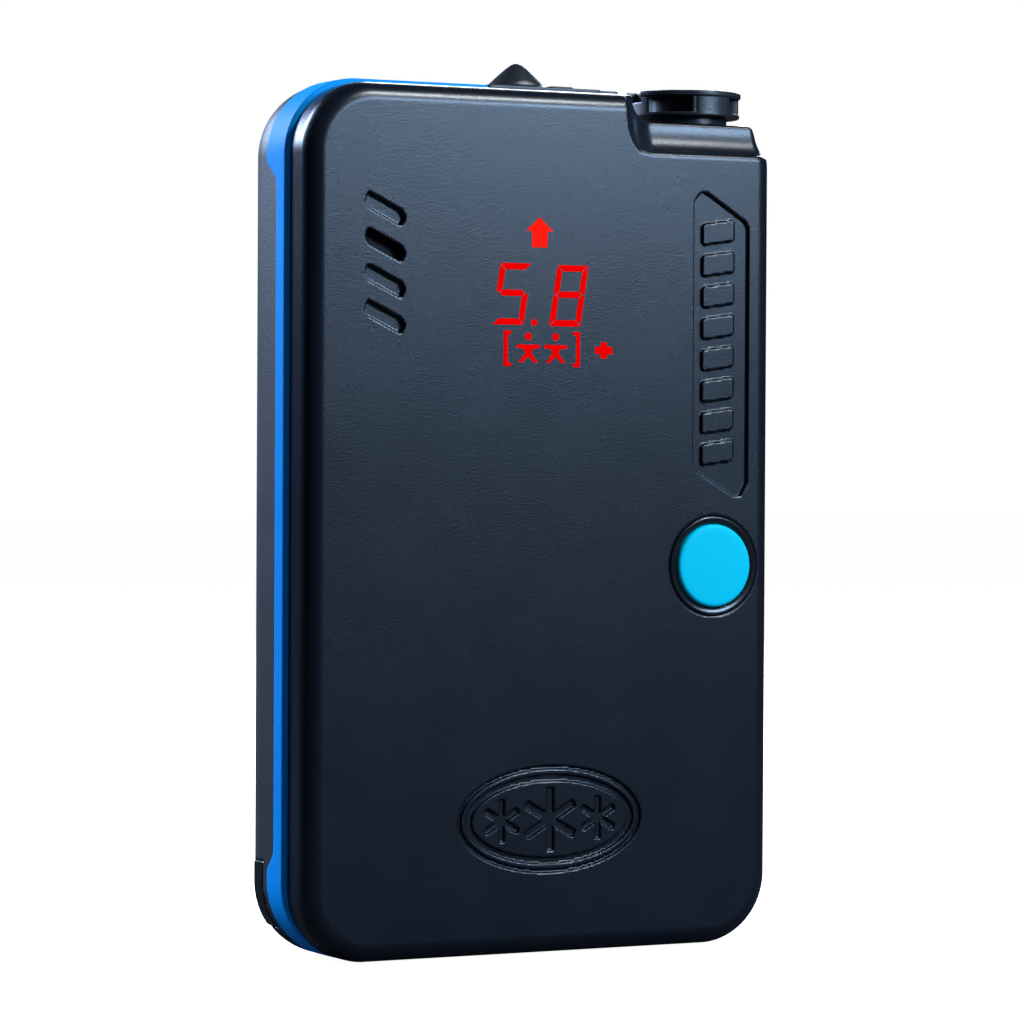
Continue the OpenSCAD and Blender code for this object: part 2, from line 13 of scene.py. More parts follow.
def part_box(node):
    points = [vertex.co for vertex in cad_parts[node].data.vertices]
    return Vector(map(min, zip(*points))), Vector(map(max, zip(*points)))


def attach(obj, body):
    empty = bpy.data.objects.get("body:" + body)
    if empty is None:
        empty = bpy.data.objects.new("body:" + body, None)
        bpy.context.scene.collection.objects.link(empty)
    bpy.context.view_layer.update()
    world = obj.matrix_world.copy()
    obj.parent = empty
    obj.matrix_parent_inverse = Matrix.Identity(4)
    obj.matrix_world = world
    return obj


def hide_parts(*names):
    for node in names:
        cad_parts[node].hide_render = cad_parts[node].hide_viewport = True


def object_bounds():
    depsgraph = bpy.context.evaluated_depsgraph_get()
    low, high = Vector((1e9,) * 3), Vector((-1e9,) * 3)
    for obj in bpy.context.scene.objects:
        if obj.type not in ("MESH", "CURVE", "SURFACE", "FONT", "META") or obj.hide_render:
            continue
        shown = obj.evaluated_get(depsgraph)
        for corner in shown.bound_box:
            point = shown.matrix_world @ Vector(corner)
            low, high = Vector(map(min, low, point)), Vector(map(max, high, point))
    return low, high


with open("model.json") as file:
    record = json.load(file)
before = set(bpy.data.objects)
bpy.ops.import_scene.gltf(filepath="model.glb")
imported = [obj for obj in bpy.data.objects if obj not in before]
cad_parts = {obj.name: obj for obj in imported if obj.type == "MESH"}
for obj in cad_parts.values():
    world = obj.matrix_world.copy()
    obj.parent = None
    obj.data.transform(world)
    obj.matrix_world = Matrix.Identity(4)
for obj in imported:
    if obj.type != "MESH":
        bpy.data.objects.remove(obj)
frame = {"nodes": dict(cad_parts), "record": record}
cad_low, cad_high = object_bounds()

MM = 0.001


def span(node):
    """Box of a CAD node in millimetres."""
    low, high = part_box(node)
    return np.array(low) / MM, np.array(high) / MM


# ---------------------------------------------------------------- sizes from the frame

COVER_LO, COVER_HI = span("front_cover")
REAR_LO, REAR_HI = span("rear_case")
BAND_LO, BAND_HI = span("bumper")
DIAL_LO, DIAL_HI = span("power_dial")
SLIDER_LO, SLIDER_HI = span("lock_slider")
BEZEL_LO, BEZEL_HI = span("button_bezel")
DOOR_LO, DOOR_HI = span("battery_door")
BUSH_LO, BUSH_HI = span("lanyard_bush")
FOOT_HI = span("corner_feet")[1]

FACE = COVER_LO[1]                       # Y of the front face
COVER_X, COVER_Z = COVER_HI[0], COVER_HI[2]
BAND_X, BAND_Z = BAND_HI[0], BAND_HI[2]
BAND_FRONT = BAND_LO[1] - FACE           # depths of the band's front, back and corner pads
BAND_BACK = BAND_FRONT + 2.95
PAD_BACK = BAND_HI[1] - FACE
SEAM = REAR_LO[1] - FACE                 # depth of the joint between the two shells
BODY_BACK = 21.3
CASE_BACK = REAR_HI[1] - FACE            # back of the battery housing
CORNER = 10.5                            # radius of the outline's corners
NOTCH_X = 14.5                           # left wall of the dial's cut-out
SHELF = 113.7                            # its floor
LEDGE = 109.3                            # where its right side ends
BAND_END = (-6.0, 107.0)                 # the band is left out to the right of and above this
DIAL_BLOCK = (11.9, 107.5)               # solid plastic round the dial's shaft starts here
WALL = 2.55                              # thickness of the front shell
SCREW_POSTS = ((-28.5, 14), (28.5, 14), (-28.5, 104), (28.5, 91))
KNUCKLE = 1.3                            # radius of the door's hinge knuckles
TOP_ROUND, BAND_WALL = 2.6, 1.6


DIAL = ((DIAL_LO + DIAL_HI) / 2)[:2]     # X and Y of the dial's axis
BUTTON = ((BEZEL_LO + BEZEL_HI) / 2)[[0, 2]]
LUG_X = -15.5                            # middle of the lanyard lug and its eye
LUG_Y, LUG_Z = ((BUSH_LO + BUSH_HI) / 2)[1:]
HINGE_D, HINGE_Z = 26, 67.4              # axis of the door's hinge
LOCK_Z = 7.4                             # height of the door's screw
SLIDER_D = 11.6                          # depth of the slider's middle


# ---------------------------------------------------------------- solid fields, in millimetres

def both(a, b, r=0.0):
    """Where both solids are, with the shared edge rounded to radius r."""
    if r <= 0:
        return np.maximum(a, b)
    return np.minimum(-r, np.maximum(a, b)) + np.hypot(np.maximum(a + r, 0), np.maximum(b + r, 0))


def either(a, b, r=0.0):
    """Where either solid is, with the inner corner filled to radius r."""
    if r <= 0:
        return np.minimum(a, b)
    return np.maximum(r, np.minimum(a, b)) - np.hypot(np.maximum(r - a, 0), np.maximum(r - b, 0))


def less(a, b, r=0.0):
    """Solid a with b cut away and the lip of the cut rounded."""
    return both(a, -b, r)


def corner(x, z, x0, z0):
    """Everything to the right of x0 and above z0."""
    return both(x0 - x, z0 - z)


def round_rect(x, z, hx, z0, z1, r):
    """Outline from -hx to hx and from z0 to z1, with corners of radius r."""
    qx = np.abs(x) - (hx - r)
    qz = np.abs(z - (z0 + z1) / 2) - ((z1 - z0) / 2 - r)
    return np.hypot(np.maximum(qx, 0), np.maximum(qz, 0)) + np.minimum(np.maximum(qx, qz), 0) - r


def polygon_field(x, z, points):
    """Signed distance to a closed outline."""
    pts = np.array(points, float)
    d = np.full(x.shape, 1e9)
    inside = np.zeros(x.shape, bool)
    for (ax, az), (bx, bz) in zip(pts, np.roll(pts, -1, 0)):
        ex, ez = bx - ax, bz - az
        wx, wz = x - ax, z - az
        t = np.clip((wx * ex + wz * ez) / (ex * ex + ez * ez), 0, 1)
        d = np.minimum(d, (wx - ex * t) ** 2 + (wz - ez * t) ** 2)
        if ez != 0:
            inside ^= ((az > z) != (bz > z)) & (wx < ex * (z - az) / ez)
    return np.where(inside, -1, 1) * np.sqrt(d)


def smooth(t):
    """Ease from 0 to 1."""
    t = np.clip(t, 0, 1)
    return t * t * (3 - 2 * t)


# ---------------------------------------------------------------- field to mesh

def sample(field, axes, block=6):
    """Field values on the grid, worked out only in blocks near the surface."""
    n = [len(a) for a in axes]
    step = axes[0][1] - axes[0][0]
    nb = [-(-k // block) for k in n]
    centre = [a[0] + (np.arange(m) * block + (block - 1) / 2) * step for a, m in zip(axes, nb)]
    cx, cy, cz = np.meshgrid(*centre, indexing="ij")
    rough = field(cx.ravel(), cy.ravel(), cz.ravel()).reshape(nb)
    near = np.argwhere(np.abs(rough) < block * step * 1.5)
    full = rough.astype(np.float32)
    for k in range(3):
        full = np.repeat(full, block, axis=k)
    full = full[:n[0], :n[1], :n[2]].copy()
    off = np.stack(np.meshgrid(*[np.arange(block)] * 3, indexing="ij"), -1).reshape(-1, 3)
    for part in np.array_split(near, max(1, len(near) * len(off) // 400000)):
        idx = (part[:, None, :] * block + off[None]).reshape(-1, 3)
        idx = idx[(idx < n).all(1)]
        v = field(*[axes[k][idx[:, k]] for k in range(3)])
        full[idx[:, 0], idx[:, 1], idx[:, 2]] = v
    return full


def gradient(field, p, h=0.01):
    """Slope of the field at each point."""
    g = np.empty_like(p)
    for k in range(3):
        a, b = p.copy(), p.copy()
        a[:, k] += h
        b[:, k] -= h
        g[:, k] = (field(*a.T) - field(*b.T)) / (2 * h)
    return g


def surface(field, low, high, step):
    """Closed quad mesh of the field's zero surface, with every point pulled onto it."""
    axes = [np.arange(a - 1.7 * step, b + 2.7 * step, step) for a, b in zip(low, high)]
    f = sample(field, axes)
    inside = f < 0
    corner = [(i, j, k) for i in (0, 1) for j in (0, 1) for k in (0, 1)]
    cut = [slice(0, -1), slice(1, None)]
    count = sum(inside[cut[i], cut[j], cut[k]].astype(np.int8) for i, j, k in corner)
    cells = np.argwhere((count > 0) & (count < 8))
    number = -np.ones(count.shape, np.int64)
    number[tuple(cells.T)] = np.arange(len(cells))
    total = np.zeros((len(cells), 3))
    crossings = np.zeros(len(cells))
    value = {c: f[tuple((cells + c).T)].astype(float) for c in corner}
    for c in corner:
        for k in range(3):
            if c[k] == 0:
                d = list(c)
                d[k] = 1
                a, b = value[c], value[tuple(d)]
                hit = (a < 0) != (b < 0)
                t = np.where(hit, a / np.where(hit, a - b, 1), 0)
                for m in range(3):
                    total[:, m] += np.where(hit, c[m] + (t if m == k else 0), 0)
                crossings += hit
    start = cells + total / crossings[:, None]
    start = np.stack([axes[k][0] + start[:, k] * step for k in range(3)], -1)
    p = start.copy()
    for _ in range(3):
        g = gradient(field, p)
        move = -field(*p.T)[:, None] * g / np.maximum((g * g).sum(1), 0.05)[:, None]
        p = np.clip(p + move, start - 0.6 * step, start + 0.6 * step)
    quads = []
    for k in range(3):
        u, v = (k + 1) % 3, (k + 2) % 3
        lo = [slice(None)] * 3
        hi = [slice(None)] * 3
        lo[k], hi[k] = slice(0, -1), slice(1, None)
        a, b = inside[tuple(lo)], inside[tuple(hi)]
        e = np.argwhere(a != b)
        e = e[(e[:, u] > 0) & (e[:, v] > 0) & (e[:, u] < len(axes[u]) - 1)
              & (e[:, v] < len(axes[v]) - 1)]
        ring = []
        for du, dv in ((1, 1), (0, 1), (0, 0), (1, 0)):
            c = e.copy()
            c[:, u] -= du
            c[:, v] -= dv
            ring.append(number[tuple(c.T)])
        q = np.stack(ring, -1)
        flip = ~a[tuple(e.T)]
        q[flip] = q[flip][:, ::-1]
        quads.append(q)
    return p, np.concatenate(quads)


def put_mesh(name, points, faces):
    """Object with the given points and four-sided faces."""
    mesh = bpy.data.meshes.new(name)
    mesh.vertices.add(len(points))
    mesh.vertices.foreach_set("co", points.ravel())
    mesh.loops.add(faces.size)
    mesh.loops.foreach_set("vertex_index", faces.ravel().astype(np.int32))
    mesh.polygons.add(len(faces))
    mesh.polygons.foreach_set("loop_start", np.arange(len(faces), dtype=np.int32) * faces.shape[1])
    mesh.update(calc_edges=True)
    obj = bpy.data.objects.new(name, mesh)
    bpy.context.scene.collection.objects.link(obj)
    return obj


def shape(name, field, low, high, step, keep):
    """Piece made from a field of (x, depth, z) inside a box, in the row frame."""
    points, faces = surface(field, low, high, step)
    dense = put_mesh(name + "_dense", points, faces)
    mod = dense.modifiers.new("fewer", "DECIMATE")
    mod.ratio = keep
    graph = bpy.context.evaluated_depsgraph_get()
    mesh = bpy.data.meshes.new_from_object(dense.evaluated_get(graph))
    bpy.data.objects.remove(dense)
    mesh.name = name
    obj = bpy.data.objects.new(name, mesh)
    bpy.context.scene.collection.objects.link(obj)
    co = np.empty(len(mesh.vertices) * 3)
    mesh.vertices.foreach_get("co", co)
    p = np.clip(co.reshape(-1, 3), low, high)
    g = gradient(field, p)
    g /= np.maximum(np.linalg.norm(g, axis=1), 1e-9)[:, None]
    p = (p + [0, FACE, 0]) * MM
    mesh.vertices.foreach_set("co", p.ravel())
    mesh.polygons.foreach_set("use_smooth", np.ones(len(mesh.polygons), bool))
    mesh.update()
    mesh.normals_split_custom_set_from_vertices(g.tolist())
    return obj


# ---------------------------------------------------------------- shells

def notch_field(x, d, z):
    """Corner cut-out for the dial, flared open to the front and to the right."""
    depth = np.maximum(d, 0) / 2.4
    floor = either(SHELF - z, (np.hypot(np.maximum(SHELF - z, 0) / 4.4, depth) - 1) * 2.4, 0.5)
    wall = either(NOTCH_X - x, (np.hypot(np.maximum(NOTCH_X - x, 0) / 2.0, depth) - 1) * 2.0, 0.4)
    front = both(floor, wall, 3.0)
    side = (np.hypot(np.maximum(COVER_X + 0.4 - x, 0) / 1.8,
                     np.maximum(SHELF - z, 0) / (SHELF - LEDGE)) - 1) * 1.8
    return either(front, both(side, LEDGE - z, 0.3), 1.2)


def slot_outlines():
    """Four slanted sound slots, one below the other."""
    centre_x = (span("buzzer")[0][0] + span("buzzer")[1][0]) / 2
    top, pitch = 101.0, 4.78
    points = [(-2.65, 0.3), (-2.42, 1.1), (2.1, -1.05), (2.52, -1.8), (2.15, -2.42), (-2.3, -0.3)]
    return [[(centre_x + a, top - pitch * i + b) for a, b in points] for i in range(4)]


SLOTS = slot_outlines()
OPEN_SLOT, SLOT_DEPTH = 1, 0.85


def cover_field(x, d, z):
    """Front shell, with its slots, button hole, inlay and emblem."""
    s = both(round_rect(x, z, COVER_X, 0, COVER_Z, CORNER - 0.8), -d, TOP_ROUND)
    tail = both(corner(x, z, BAND_END[0] + 0.1, BAND_END[1] + 0.1), d - SEAM + 0.02)
    s = both(s, either(d - BAND_FRONT, tail), 0.15)
    inner = both(round_rect(x, z, COVER_X - WALL, WALL, COVER_Z - WALL, 7.15), 1.8 - d, 0.5)
    s = less(s, less(inner, corner(x, z, *DIAL_BLOCK)))
    s = less(s, notch_field(x, d, z), 0.35)
    near = (x < -18) & (z > 80)
    if near.any():
        for i, outline in enumerate(SLOTS):
            q = polygon_field(x[near], z[near], outline) - 0.35
            deep = q if i == OPEN_SLOT else both(q, d[near] - SLOT_DEPTH, 0.3)
            s[near] = less(s[near], deep, 0.2)
    near = x > 18
    if near.any():
        xn, dn, zn = x[near], d[near], z[near]
        hole = np.hypot(xn - BUTTON[0], zn - BUTTON[1]) - BEZEL_HI[0] + BUTTON[0] + 0.9
        s[near] = less(s[near], hole, 0.3)
        s[near] = inlay(s[near], xn, dn, zn)
    near = z < 30
    if near.any():
        s[near] = emblem(s[near], x[near], d[near], z[near])
    return s


# outline of the inlay, 0.45 inside its edge
INLAY = [(24.25, 103.6), (24.9, 103.6), (30.9, 99.9), (31.3, 99.2), (31.3, 64.2), (30.4, 62.6),
         (29.7, 62.6), (24.0, 65.9), (23.5, 66.9), (23.5, 102.6)]


def inlay(s, x, d, z):
    """Long shallow recess with a row of raised slanted bars."""
    q = polygon_field(x, z, INLAY) - 0.45
    s = less(s, both(q, d - 0.55, 0.15), 0.18)
    pitch = 4.35
    u = x - 27.0
    along = z - 83.4 - 0.14 * u
    row = np.clip(np.floor(along / pitch), -4, 3) + 0.5
    v = along - row * pitch
    bar = both(np.abs(u) - 2.55, np.abs(v) - 1.45, 0.5)
    bar = both(bar, 0.12 - d, 0.12)
    bar = both(bar, d - 1.2)
    return either(s, bar, 0.1)


def emblem(s, x, d, z):
    """Two engraved oval lines round three plain snow crystals."""
    cx, cz, wide, tall, depth = 0.9, 18.3, 14.1, 7.3, 0.35
    k = np.hypot((x - cx) / wide, (z - cz) / tall)
    size = np.hypot((x - cx) / wide ** 2, (z - cz) / tall ** 2) / np.maximum(k, 1e-6)
    oval = (k - 1) / np.maximum(size, 1e-6)
    line = both(oval, -oval - 0.5, 0.1)
    ring = both(oval + 1.2, -oval - 2.15, 0.1)
    s = less(s, both(either(line, ring), d - depth, 0.1), 0.15)
    marks = crystal(x, z, cx, cz, 4.3, 0.55)
    for side in (-1, 1):
        marks = either(marks, crystal(x, z, cx + 7.4 * side, cz, 2.9, 0.42))
    return less(s, both(marks, d - depth, 0.1), 0.15)


def crystal(x, z, cx, cz, r, t):
    """Outline of a plain snow crystal of radius r, with arms 2t wide."""
    out = np.full(x.shape, 1e9)
    for i in range(3):
        a = math.radians(60 * i + 30)
        u = np.abs((x - cx) * math.cos(a) + (z - cz) * math.sin(a))
        v = np.abs((z - cz) * math.cos(a) - (x - cx) * math.sin(a))
        out = either(out, both(u - r, v - t, 0.2), 0.1)
    return out


def band_back(x, z):
    """Depth of the band's back edge, which is further back at three corners."""
    top = smooth((z - 104) / 3.2) * (PAD_BACK - BAND_BACK) * (x < 0)
    bottom = smooth((14.8 - z) / 3.2) * (PAD_BACK - 1.0 - BAND_BACK)
    return BAND_BACK + top + bottom


def band_field(x, d, z):
    """Elastomer band round the seam."""
    t = BAND_WALL - 0.05
    s = both(round_rect(x, z, BAND_X, 0, BAND_Z, CORNER), BAND_FRONT - d, 0.35)
    s = both(s, d - band_back(x, z), 0.35)
    s = less(s, round_rect(x, z, BAND_X - t, t, BAND_Z - t, CORNER - t))
    return less(s, corner(x, z, *BAND_END), 0.4)


def rear_field(x, d, z):
    """Rear shell, with the battery housing, lanyard lug, screw holes and label recess."""
    hx, hz = REAR_HI[0], REAR_HI[2]
    s = both(round_rect(x, z, hx, 0, hz, CORNER - 0.3), d - BODY_BACK, 8.0)
    hump = both(round_rect(x, z, 23, 0, 72, 6), d - CASE_BACK, 3.6)
    s = either(s, both(hump, 15 - d), 1.2)
    eye = np.hypot(d - LUG_Y + FACE, z - LUG_Z)
    web = both(np.abs(z - 106) - 2.8, d - 24.2)
    lug = both(either(eye - 3.05, web, 0.8), both(BUSH_LO[0] - x, x - BUSH_HI[0]), 0.4)
    s = either(s, both(lug, 19 - d), 0.8)
    s = both(s, SEAM - d)
    t = BAND_WALL
    seat = both(-round_rect(x, z, BAND_X - t, t, BAND_Z - t, CORNER - t),
                d - band_back(x, z) - 0.04)
    seat = less(seat, corner(x, z, BAND_END[0] + 0.1, BAND_END[1] + 0.1))
    s = less(s, seat, 0.12)
    inner = both(round_rect(x, z, 32.4, 3.2, 114, 7), d - 19.3, 5)
    inner = less(inner, corner(x, z, *DIAL_BLOCK))
    wall = both(np.abs(x) - 18.8, both(2 - z, z - 63.1))
    wall = less(both(wall, 12.6 - d), both(z - 9.4, d - 17.8))
    s = less(s, less(inner, wall))
    s = less(s, notch_field(x, d, z), 0.35)
    for sx, sz in SCREW_POSTS:
        s = less(s, both(np.hypot(x - sx, z - sz) - 2.5, 17.3 - d), 0.3)
    s = less(s, both(eye - 2.5, np.abs(x - LUG_X) - 4))
    bay = both(both(np.abs(x) - 17.2, both(11 - z, z - 61.5)), 14.2 - d)
    door = both(both(np.abs(x) - 18.9, both(DOOR_LO[2] - 0.3 - z, z - 67), 0.8), 25 - d)
    hinge = np.hypot(d - HINGE_D, z - HINGE_Z)
    ends = np.abs(np.abs(x) - 16.65) - 2.25
    knuckle = both(hinge - KNUCKLE, ends, 0.2)
    web = both(both(np.abs(z - HINGE_Z) - 1, d - HINGE_D), ends)
    pocket = less(both(hinge - 2.4, np.abs(x) - 18.9), either(knuckle, web, 0.3))
    s = less(s, either(bay, either(door, pocket)), 0.25)
    s = less(s, both(np.hypot(x, z - LOCK_Z) - 2.3, 20.5 - d))
    foot = both(both(np.abs(np.abs(x) - 33) - 4.03, both(3.97 - z, z - 13.03)),
                both(12.45 - d, d - 15.65))
    s = less(s, both(foot, -round_rect(x, z, hx - 1.2, 1.2, hz - 1.2, CORNER - 1.5)), 0.1)
    slot = both(both(0.8 - x, x - 8), both(10.05 - d, d - 12.95))
    s = less(s, both(slot, 112 - z))
    s = less(s, both(np.hypot(x - DIAL[0], d + FACE - DIAL[1]) - 3.4, 100 - z))
    label = both(both(-1 - x, x - 24), both(both(78 - z, z - 98), 21.15 - d), 0.3)
    return less(s, label, 0.15)


def dial_field(x, d, z):
    """Dial: top disc, drum with four finger scoops, and two notches for the slider."""
    u, v = x - DIAL[0], d + FACE - DIAL[1]
    r = np.hypot(u, v)
    top, base = DIAL_HI[2], 115.0
    disc_r, drum_r, bar_x = 8.13, 7.95, np.abs(u - 0.4)
    s = both(r - disc_r, both(z - top, top - 0.75 - z), 0.2)
    bar = both(bar_x - 3.1, both(r - drum_r, np.abs(v) - 7.55, 0.2), 0.3)
    scoop = np.hypot(bar_x - 6.9, np.abs(v) - 7.4) - 4.4
    core = either(bar, less(r - drum_r, scoop, 0.3), 0.2)
    core = both(core, both(base - z, z - top + 0.3), 0.15)
    s = either(s, core, 0.12)
    s = either(s, both(r - drum_r, both(base - z, z - (base + 0.5)), 0.12), 0.1)
    s = either(s, both(r - 6.15, both(DIAL_LO[2] - z, z - (base + 0.2))), 0.1)
    for a, b in ((u, v), (-v, u)):
        tongue = both(both(np.abs(b) - 1.8, a + 6.55, 0.3), 117.0 - z)
        s = less(s, tongue, 0.12)
    return less(s, both(r - 2.2, z - 116.6))


def slider_field(x, d, z):
    """Lock slider: plate, tongue, rounded thumb fin and the stem that goes into the case."""
    low, top = SLIDER_HI[2] - 3.9, 118.3
    across = np.abs(d - SLIDER_D)
    plate = both(both(SLIDER_LO[0] - x, x - 12.8), across - 3.35, 0.6)
    tongue = both(both(12 - x, x - SLIDER_HI[0]), np.abs(d - 11) - 1.5, 0.4)
    s = both(either(plate, tongue, 0.5), both(low - z, z - top), 0.12)
    step = both(both(5 - x, x - 8.6), across - 3.0, 0.4)
    s = either(s, both(step, both(118 - z, z - top - 0.2), 0.1), 0.05)
    r = np.sqrt((x - 1.25) ** 2 + (across * 1.38) ** 2 + 1.4) - 1.1832
    fin = (z - (SLIDER_HI[2] - 0.96 * r)) * 0.72
    fin = both(fin, both(across - 3.0, both(-3.5 - x, x - 6.4), 0.8), 0.5)
    s = either(s, both(fin, 118 - z), 0.35)
    stem = both(both(1 - x, x - 4), np.abs(d - 11.5) - 1.3)
    return either(s, both(stem, both(SLIDER_LO[2] - z, z - 118)))


def door_field(x, d, z):
    """Battery door, with its hinge barrel, grip ribs and screw hole."""
    hinge = np.hypot(d - HINGE_D, z - HINGE_Z)
    panel = both(np.abs(x) - DOOR_HI[0], both(DOOR_LO[2] - z, z - 65.4), 0.6)
    neck = both(np.abs(x) - 14.1, both(65 - z, z - HINGE_Z))
    s = both(either(panel, neck), both(25.4 - d, d - CASE_BACK), 0.3)
    s = either(s, both(hinge - KNUCKLE, np.abs(x) - 14.1, 0.1), 0.2)
    s = less(s, hinge - 0.66)
    first, pitch, last = 16.7, 5, 8
    row = np.clip(np.round((z - first) / pitch), 0, last) * pitch + first
    rib = both(np.abs(x) - 12, np.abs(z - row) - 0.75, 0.6)
    s = less(s, both(rib, 26.8 - d, 0.2), 0.3)
    r = np.hypot(x, z - LOCK_Z)
    return less(s, either(r - 1.08, both(r - 2.7, 26.2 - d)), 0.2)


def foot_field(x, d, z):
    """The two polished pads at the rear bottom corners."""
    s = both(round_rect(x, z, FOOT_HI[0], 0, REAR_HI[2], CORNER - 0.3),
             -round_rect(x, z, FOOT_HI[0] - 1.15, 1.15, REAR_HI[2] - 1.15, CORNER - 1.5))
    ends = both(both(12.5 - d, d - 15.6), both(4 - z, z - 13))
    return both(s, both(ends, 29 - np.abs(x)), 0.35)


# ---------------------------------------------------------------- turned and flat pieces

def curve_points(cx, cy, r, a0, a1, n=5):
    """Points of an arc from angle a0 to a1, in degrees."""
    return [(cx + r * math.cos(math.radians(a0 + (a1 - a0) * i / n)),
             cy + r * math.sin(math.radians(a0 + (a1 - a0) * i / n))) for i in range(n + 1)]


def turned(name, profile, x, z, seg=96):
    """Ring or disc with the given (radius, depth) profile, about an axis along Y."""
    pts, faces = [], []
    n = len(profile)
    for i in range(seg):
        a = 2 * math.pi * i / seg
        for r, d in profile:
            pts.append(((x + r * math.cos(a)) * MM, (d + FACE) * MM, (z + r * math.sin(a)) * MM))
    for i in range(seg):
        j = (i + 1) % seg
        for k in range(n):
            m = (k + 1) % n
            faces.append((i * n + k, i * n + m, j * n + m, j * n + k))
    mesh = bpy.data.meshes.new(name)
    mesh.from_pydata(pts, [], faces)
    obj = bpy.data.objects.new(name, mesh)
    bpy.context.scene.collection.objects.link(obj)
    bm = bmesh.new()
    bm.from_mesh(mesh)
    bmesh.ops.remove_doubles(bm, verts=bm.verts[:], dist=1e-7)
    bmesh.ops.recalc_face_normals(bm, faces=bm.faces[:])
    for f in bm.faces:
        f.smooth = True
    bm.to_mesh(mesh)
    bm.free()
    mesh.set_sharp_from_angle(angle=math.radians(50))
    return obj


def lean(points, x, z, slant=8.7):
    """Outline moved to (x, z) and slanted like the digits."""
    t = math.tan(math.radians(slant))
    return [(x + a + b * t, z + b) for a, b in points]


def seven_bars(w=4.8, h=8.3, t=0.85, g=0.09):
    """The seven bars of a digit w wide and h high, t thick, with gaps g between them."""
    m, s = h / 2 + 0.15, t / 2
    return {
        "a": [(g, h), (w - g, h), (w - t - g, h - t), (t + g, h - t)],
        "b": [(w, h - g), (w, m + g), (w - s, m + g), (w - t, m + s + g), (w - t, h - t - g)],
        "c": [(w, g), (w, m - g), (w - s, m - g), (w - t, m - s - g), (w - t, t + g)],
        "d": [(g, 0), (w - g, 0), (w - t - g, t), (t + g, t)],
        "e": [(0, g), (0, m - g), (s, m - g), (t, m - s - g), (t, t + g)],
        "f": [(0, h - g), (0, m + g), (s, m + g), (t, m + s + g), (t, h - t - g)],
        "g": [(s + g, m), (t + g, m + s), (w - t - g, m + s), (w - s - g, m),
              (w - t - g, m - s), (t + g, m - s)]}


def disc(x, z, r, n=20):
    """Round outline."""
    return [(x + r * math.cos(2 * math.pi * i / n), z + r * math.sin(2 * math.pi * i / n))
            for i in range(n)]


def lit_piece(name, outlines, front=-0.02, back=0.4):
    """Flat light guides, set a hair proud of the front face."""
    bm = bmesh.new()
    for outline in outlines:
        ends = [[bm.verts.new((x * MM, (d + FACE) * MM, z * MM)) for x, z in outline]
                for d in (front, back)]
        bm.faces.new(ends[0])
        bm.faces.new(ends[1][::-1])
        for i in range(len(outline)):
            j = (i + 1) % len(outline)
            bm.faces.new((ends[0][j], ends[0][i], ends[1][i], ends[1][j]))
    bmesh.ops.recalc_face_normals(bm, faces=bm.faces[:])
    mesh = bpy.data.meshes.new(name)
    bm.to_mesh(mesh)
    bm.free()
    obj = bpy.data.objects.new(name, mesh)
    bpy.context.scene.collection.objects.link(obj)
    return obj


def display_outlines():
    """Outlines of the digits and their point, the arrow, and the small icons."""
    bars = seven_bars()
    digits = [lean(bars[k], -8.42, 85.3) for k in "afgcd"]
    digits += [lean(bars[k], 0.3, 85.2) for k in "abcdefg"]
    digits.append(disc(-1.97, 85.65, 0.47))
    arrow = [(-2.37, 95.8), (0.02, 95.8), (0.02, 98.0), (0.95, 98.0), (-1.22, 99.9),
             (-3.3, 98.02), (-2.37, 98.02)]
    icons = []
    for x, k in ((-6.6, 1), (5.1, -1)):
        bracket = [(0, 0), (1.1, 0), (1.1, 0.5), (0.6, 0.5), (0.6, 4.3), (1.1, 4.3), (1.1, 4.8),
                   (0, 4.8)]
        icons.append([(x + k * a, 79.7 + b) for a, b in bracket])
    person = [(-1.75, 1.3), (1.75, 1.3), (1.75, 0.85), (0.62, 0.7), (0.5, 0.1), (1.5, -1.15),
              (0.95, -1.15), (0, -0.3), (-0.95, -1.15), (-1.5, -1.15), (-0.5, 0.1), (-0.62, 0.7),
              (-1.75, 0.85)]
    for x in (-2.87, 1.33):
        icons.append([(x + a, 81.35 + b) for a, b in person])
        icons.append(disc(x, 83.75, 0.52))
    plus = [(1.35, 0.5), (0.5, 0.5), (0.5, 1.1), (-0.5, 1.1), (-0.5, 0.5), (-1.35, 0.5),
            (-1.35, -0.5), (-0.5, -0.5), (-0.5, -1.1), (0.5, -1.1), (0.5, -0.5), (1.35, -0.5)]
    icons.append([(8.79 + a, 82.03 + b) for a, b in plus])
    return digits, [arrow], icons


# ---------------------------------------------------------------- materials

def node(tree, kind, **sockets):
    """New shader node with its sockets set."""
    n = tree.nodes.new(kind)
    for k, v in sockets.items():
        n.inputs[k.replace("_", " ")].default_value = v
    return n


